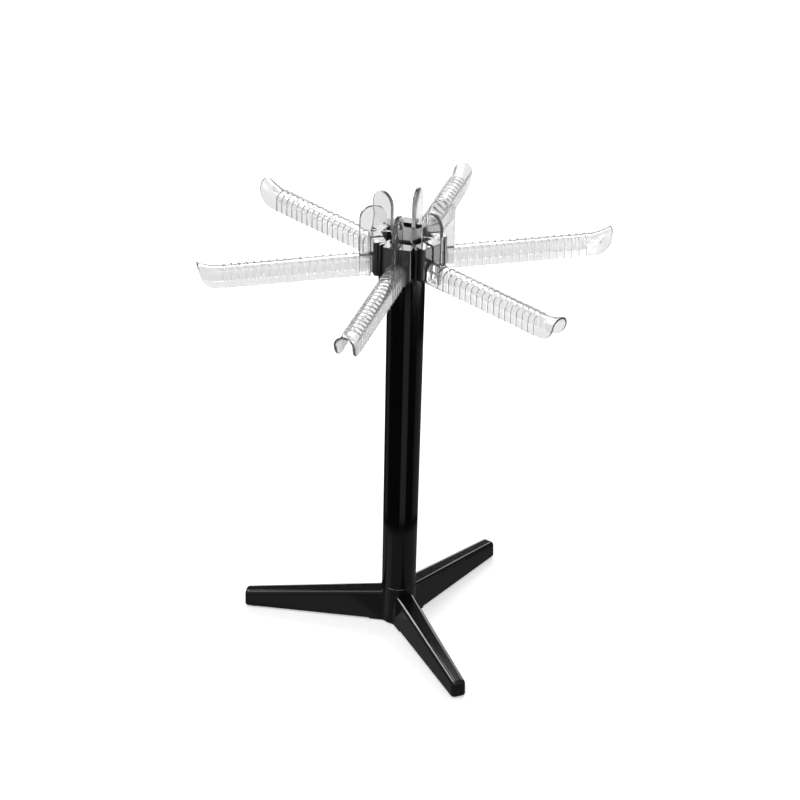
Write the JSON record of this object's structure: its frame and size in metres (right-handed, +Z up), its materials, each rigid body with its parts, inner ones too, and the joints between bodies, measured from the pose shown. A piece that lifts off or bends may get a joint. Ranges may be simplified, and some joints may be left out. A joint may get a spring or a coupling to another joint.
{
  "type": "pasta drying rack",
  "caption": "Free-standing rack: clear ribbed arms with upturned tips and finger tabs stand in slots of a hub on a tall round column that turns in a low legged foot.",
  "frame": {"origin": "on the column's axis, on the surface that the pads stand on", "axes": "+Z up along the column, +X along arm_1; the other arms follow anticlockwise seen from above"},
  "size_m": [0.3652, 0.3216, 0.4162],
  "materials": {
    "foot_plastic": "gloss",
    "column_plastic": "gloss",
    "hub_plastic": "gloss",
    "cap_plastic": "gloss",
    "clear_plastic": "clear gloss",
    "pad_rubber": "matte",
    "screw_steel": "zinc plated",
    "washer_steel": "zinc plated"
  },
  "bodies": {
    "foot": {"tripod_foot": "foot_plastic", "foot_pad_1": "pad_rubber", "foot_pad_2": "pad_rubber", "foot_pad_3": "pad_rubber", "foot_washer": "washer_steel"},
    "stand": {"column": "column_plastic", "foot_screw": "screw_steel", "hub": "hub_plastic", "hub_cap": "cap_plastic"},
    "rack_arm_1": {"arm_1": "clear_plastic"},
    "rack_arm_2": {"arm_2": "clear_plastic"},
    "rack_arm_3": {"arm_3": "clear_plastic"},
    "rack_arm_4": {"arm_4": "clear_plastic"},
    "rack_arm_5": {"arm_5": "clear_plastic"},
    "rack_arm_6": {"arm_6": "clear_plastic"}
  },
  "joints": [
    {"name": "turn_stand", "type": "hinge", "parent": "foot", "child": "stand", "pos_m": [0, 0, 0.038], "axis": [0, 0, 1], "continuous": true},
    {"name": "lift_arm_1", "type": "slide", "parent": "stand", "child": "rack_arm_1", "axis": [0, 0, 1], "range_m": [0, 0.036]},
    {"name": "lift_arm_2", "type": "slide", "parent": "stand", "child": "rack_arm_2", "axis": [0, 0, 1], "range_m": [0, 0.036]},
    {"name": "lift_arm_3", "type": "slide", "parent": "stand", "child": "rack_arm_3", "axis": [0, 0, 1], "range_m": [0, 0.036]},
    {"name": "lift_arm_4", "type": "slide", "parent": "stand", "child": "rack_arm_4", "axis": [0, 0, 1], "range_m": [0, 0.036]},
    {"name": "lift_arm_5", "type": "slide", "parent": "stand", "child": "rack_arm_5", "axis": [0, 0, 1], "range_m": [0, 0.036]},
    {"name": "lift_arm_6", "type": "slide", "parent": "stand", "child": "rack_arm_6", "axis": [0, 0, 1], "range_m": [0, 0.036]}
  ]
}
